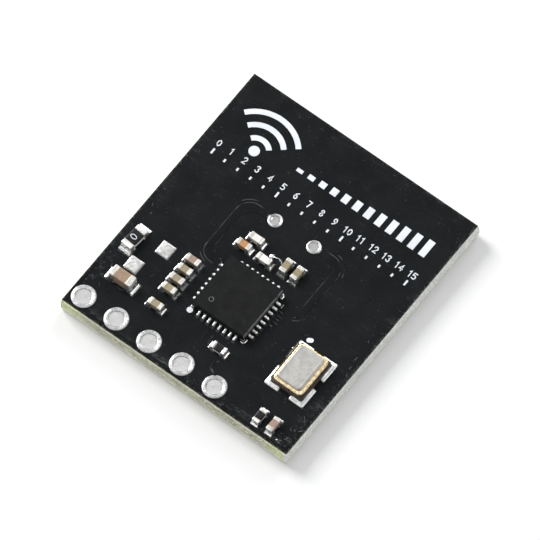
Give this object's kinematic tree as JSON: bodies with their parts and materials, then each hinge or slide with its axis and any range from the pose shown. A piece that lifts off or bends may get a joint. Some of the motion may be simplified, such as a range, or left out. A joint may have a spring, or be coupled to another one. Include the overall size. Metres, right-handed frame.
{
  "type": "microwave radar sensor module",
  "caption": "Small black circuit board with a radar chip, a crystal, small passive parts and a row of plated header holes along one edge.",
  "frame": {"origin": "centre of the board on its back face", "axes": "+X along the header edge, +Y from the header edge to the far edge, +Z out of the face with the parts on it"},
  "size_m": [0.0176, 0.0198, 0.0023],
  "materials": {
    "alumina": "white ceramic",
    "brown_ceramic": "fired ceramic",
    "cap_metal": "tinned end metal",
    "copper": "bare copper",
    "crystal_ceramic": "dark fired ceramic",
    "glaze": "dark glass glaze",
    "gold": "gold plate",
    "laminate": "rough snapped glass laminate",
    "lead": "matt plated",
    "lid": "satin nickel plate",
    "mask": "satin black coat",
    "moulding": "moulded black resin",
    "orange_ceramic": "fired ceramic",
    "pink_ceramic": "fired ceramic",
    "print": "white printed ink",
    "quartz": "polished",
    "solder": "reflowed solder",
    "tan_ceramic": "fired ceramic",
    "tin": "hot tinned",
    "white_ceramic": "fired ceramic"
  },
  "bodies": {
    "root": {"antenna_via_left": "tin", "antenna_via_right": "tin", "bias_resistor_body": "alumina", "bias_resistor_terminals": "cap_metal", "board_laminate": "laminate", "chip_body": "moulding", "chip_leads": "lead", "chip_solder": "solder", "chip_thermal_pad": "lead", "component_lands": "tin", "crystal_base": "crystal_ceramic", "crystal_lid": "lid", "crystal_seal_ring": "gold", "crystal_solder": "solder", "crystal_terminals": "gold", "decoupling_capacitor_1_body": "pink_ceramic", "decoupling_capacitor_1_terminals": "cap_metal", "decoupling_capacitor_2_body": "tan_ceramic", "decoupling_capacitor_2_terminals": "cap_metal", "decoupling_capacitor_3_body": "tan_ceramic", "decoupling_capacitor_3_terminals": "cap_metal", "decoupling_capacitor_4_body": "tan_ceramic", "decoupling_capacitor_4_terminals": "cap_metal", "feed_line_left": "copper", "feed_line_right": "copper", "filter_capacitor_1_body": "tan_ceramic", "filter_capacitor_1_terminals": "cap_metal", "filter_capacitor_2_body": "tan_ceramic", "filter_capacitor_2_terminals": "cap_metal", "filter_inductor_1_body": "white_ceramic", "filter_inductor_1_terminals": "cap_metal", "filter_inductor_2_body": "white_ceramic", "filter_inductor_2_terminals": "cap_metal", "header_eyelet_1": "tin", "header_eyelet_2": "tin", "header_eyelet_3": "tin", "header_eyelet_4": "tin", "header_eyelet_5": "tin", "jumper_resistor_body": "alumina", "jumper_resistor_terminals": "cap_metal", "matching_link": "tin", "output_capacitor_body": "tan_ceramic", "output_capacitor_terminals": "cap_metal", "passive_solder": "solder", "pull_up_resistor_body": "alumina", "pull_up_resistor_terminals": "cap_metal", "quartz_blank": "quartz", "receive_antenna": "copper", "reset_capacitor_body": "pink_ceramic", "reset_capacitor_terminals": "cap_metal", "resistor_glazes": "glaze", "silkscreen_marks": "print", "solder_mask_back": "mask", "solder_mask_front": "mask", "supply_capacitor_body": "brown_ceramic", "supply_capacitor_terminals": "cap_metal", "transmit_antenna": "copper", "tuning_capacitor_body": "orange_ceramic", "tuning_capacitor_terminals": "cap_metal"}
  },
  "joints": []
}
